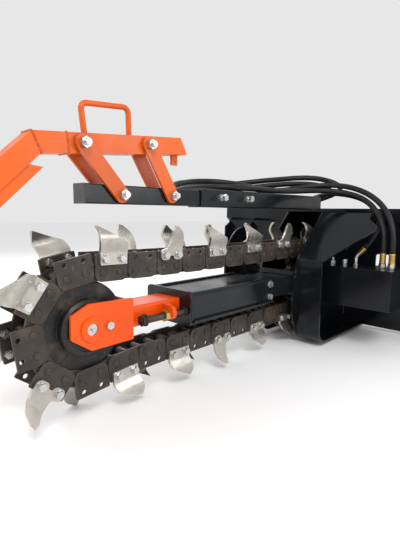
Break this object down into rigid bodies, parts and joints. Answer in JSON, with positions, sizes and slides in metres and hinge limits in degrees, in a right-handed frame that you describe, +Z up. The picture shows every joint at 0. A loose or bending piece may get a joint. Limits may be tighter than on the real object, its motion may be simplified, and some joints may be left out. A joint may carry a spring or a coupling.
{
  "type": "trencher",
  "caption": "Chain trencher attachment with toothed digging chain, tensioned boom, crumber arm, spoil auger, hydraulic motor and quick-attach plate.",
  "frame": {"origin": "on the rear face of the mounting plate, at ground level, in the middle plane of the digging chain", "axes": "+X points to the carrier machine, out of the mounting plate's rear face; +Z is up; the auger is on the +Y side"},
  "size_m": [2.0404, 1.3, 0.817],
  "materials": {
    "frame_black": "gloss black enamel, worn to bright steel on edges",
    "fork_orange": "gloss orange enamel",
    "link_orange": "orange enamel, a little duller",
    "arm_orange": "orange enamel over rough welds",
    "chain_steel": "dark oiled and rusted chain steel",
    "tooth_steel": "worn bare steel, scratched",
    "zinc": "zinc plated",
    "gold_zinc": "yellow zinc plated",
    "hose_rubber": "black rubber hose",
    "bare_steel": "machined steel",
    "cap_grey": "dark grey plastic",
    "motor_black": "satin black paint",
    "roller_black": "dark worn iron"
  },
  "bodies": {
    "head_frame": {"side_plates": "frame_black", "head_front_plates": "frame_black", "skid_shoe": "frame_black", "guard_panel": "frame_black", "mounting_plate": "frame_black", "top_rail": "frame_black", "mounting_lips": "frame_black", "mounting_ribs": "frame_black", "deck_plate": "frame_black", "headshaft_bearings": "frame_black", "motor_box": "frame_black", "hydraulic_motor": "motor_black", "port_fittings": "zinc", "hose_ferrules": "gold_zinc", "pressure_hose": "hose_rubber", "return_hose": "hose_rubber", "drain_hose": "hose_rubber", "hose_couplers": "zinc", "coupler_rack": "frame_black", "boom": "frame_black", "boom_collar": "frame_black", "boom_wear_strips": "frame_black", "boom_tongue": "frame_black", "crumber_sleeve": "frame_black", "frame_bolts": "zinc", "chain_outer_plates": "chain_steel", "chain_inner_plates": "chain_steel", "chain_rollers": "bare_steel", "chain_pins": "chain_steel", "cup_teeth": "tooth_steel", "shark_teeth": "tooth_steel", "tooth_bolts": "zinc", "tooth_nuts": "zinc"},
    "drive": {"headshaft": "bare_steel", "drive_sprocket": "chain_steel", "auger_tube": "frame_black", "auger_flight": "frame_black", "auger_bolt": "zinc"},
    "fork": {"fork_plates": "fork_orange", "tension_bar": "fork_orange", "screw_lug": "fork_orange", "axle_caps": "fork_orange", "fork_bolts": "zinc", "nose_axle": "zinc", "lock_nut": "gold_zinc"},
    "nose": {"nose_roller": "roller_black", "nose_bearings": "bare_steel"},
    "screw": {"tension_screw": "roller_black"},
    "tube": {"crumber_tube": "frame_black", "tube_cap": "cap_grey", "lower_pivot_bolts": "zinc"},
    "front_link": {"front_links": "link_orange"},
    "rear_link": {"rear_links": "link_orange"},
    "arm": {"crumber_arm": "arm_orange", "arm_leg": "arm_orange", "leg_channel": "arm_orange", "crumber_shoe": "arm_orange", "arm_handle": "arm_orange", "upper_pivot_bolts": "zinc"}
  },
  "joints": [
    {"name": "headshaft_spin", "type": "hinge", "parent": "head_frame", "child": "drive", "pos_m": [-0.28932, 0, 0.236], "axis": [0, 1, 0], "continuous": true, "deforming": ["chain_rollers", "chain_pins"]},
    {"name": "tension_screw_turn", "type": "hinge", "parent": "head_frame", "child": "screw", "pos_m": [-1.2, -0.075, 0.231], "axis": [1, 0, 0], "range_deg": [0, 2881]},
    {"name": "takeup_slide", "type": "slide", "parent": "head_frame", "child": "fork", "axis": [1, 0, 0], "range_m": [0, 0.02]},
    {"name": "nose_spin", "type": "hinge", "parent": "fork", "child": "nose", "pos_m": [-1.4, 0, 0.236], "axis": [0, 1, 0], "continuous": true},
    {"name": "crumber_slide", "type": "slide", "parent": "head_frame", "child": "tube", "axis": [1, 0, 0], "range_m": [-0.15, 0.08]},
    {"name": "front_link_swing", "type": "hinge", "parent": "tube", "child": "front_link", "pos_m": [-1.28, 0, 0.566], "axis": [0, -1, 0], "range_deg": [-8, 12]},
    {"name": "arm_tilt", "type": "hinge", "parent": "front_link", "child": "arm", "pos_m": [-1.39, 0, 0.684], "axis": [0, -1, 0], "range_deg": [-10.2, 6.9]},
    {"name": "rear_link_swing", "type": "hinge", "parent": "tube", "child": "rear_link", "pos_m": [-1.103, 0, 0.569], "axis": [0, -1, 0], "range_deg": [-7.4, 10.9]}
  ],
  "couplings": [
    {"joint": "nose_spin", "follows": "headshaft_spin", "ratio": 0.97622},
    {"joint": "tension_screw_turn", "follows": "takeup_slide", "rad_per_m": 2513.3},
    {"joint": "arm_tilt", "follows": "front_link_swing", "ratio": -0.8304},
    {"joint": "rear_link_swing", "follows": "front_link_swing", "ratio": 0.8948}
  ]
}
